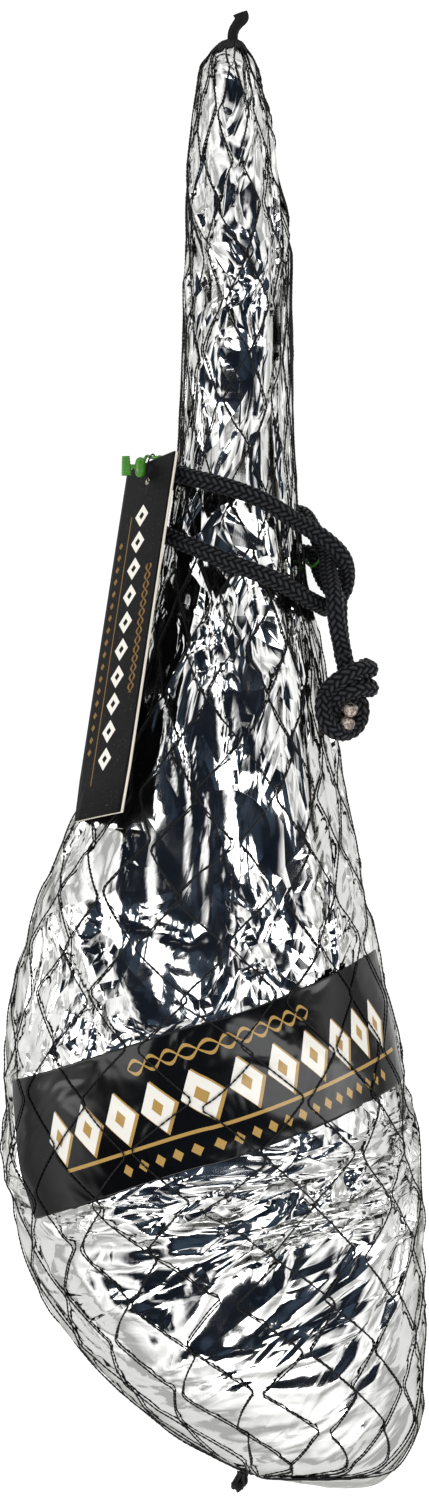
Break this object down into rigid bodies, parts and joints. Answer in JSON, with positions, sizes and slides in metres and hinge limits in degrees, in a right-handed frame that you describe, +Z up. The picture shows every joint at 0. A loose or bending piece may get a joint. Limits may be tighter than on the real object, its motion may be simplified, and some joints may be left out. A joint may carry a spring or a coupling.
{
  "type": "cured ham",
  "caption": "Whole cured ham, hoof on, wrapped in crumpled metallised film with a label band, in a knitted net, roped at the shank with a card tag and a seal; lies on its flat side.",
  "frame": {"origin": "on the surface that the ham rests on, under the middle of its length and width", "axes": "+Z up; +Y along the leg from the butt towards the hoof, the longest extent; +X across, towards the side where the rope's loop and knot lie"},
  "size_m": [0.2312, 0.8149, 0.128],
  "materials": {
    "cured_skin": "satin",
    "metallised_film": "polished",
    "knitted_net": "matte",
    "printed_film": "gloss",
    "braided_rope": "satin",
    "melted_rope": "gloss",
    "black_card": "satin",
    "tag_cord": "matte",
    "green_plastic": "satin"
  },
  "bodies": {
    "root": {"ham": "cured_skin", "film_wrap": "metallised_film", "net": "knitted_net", "label_band": "printed_film", "net_hoof_tail": "knitted_net", "net_butt_tuft": "knitted_net", "rope_noose": "braided_rope", "rope_tail_upper": "braided_rope", "rope_tail_lower": "braided_rope", "rope_knot": "braided_rope", "rope_end_1": "melted_rope", "rope_end_2": "melted_rope", "tag": "black_card", "tag_string": "tag_cord", "green_seal": "green_plastic"}
  },
  "joints": []
}
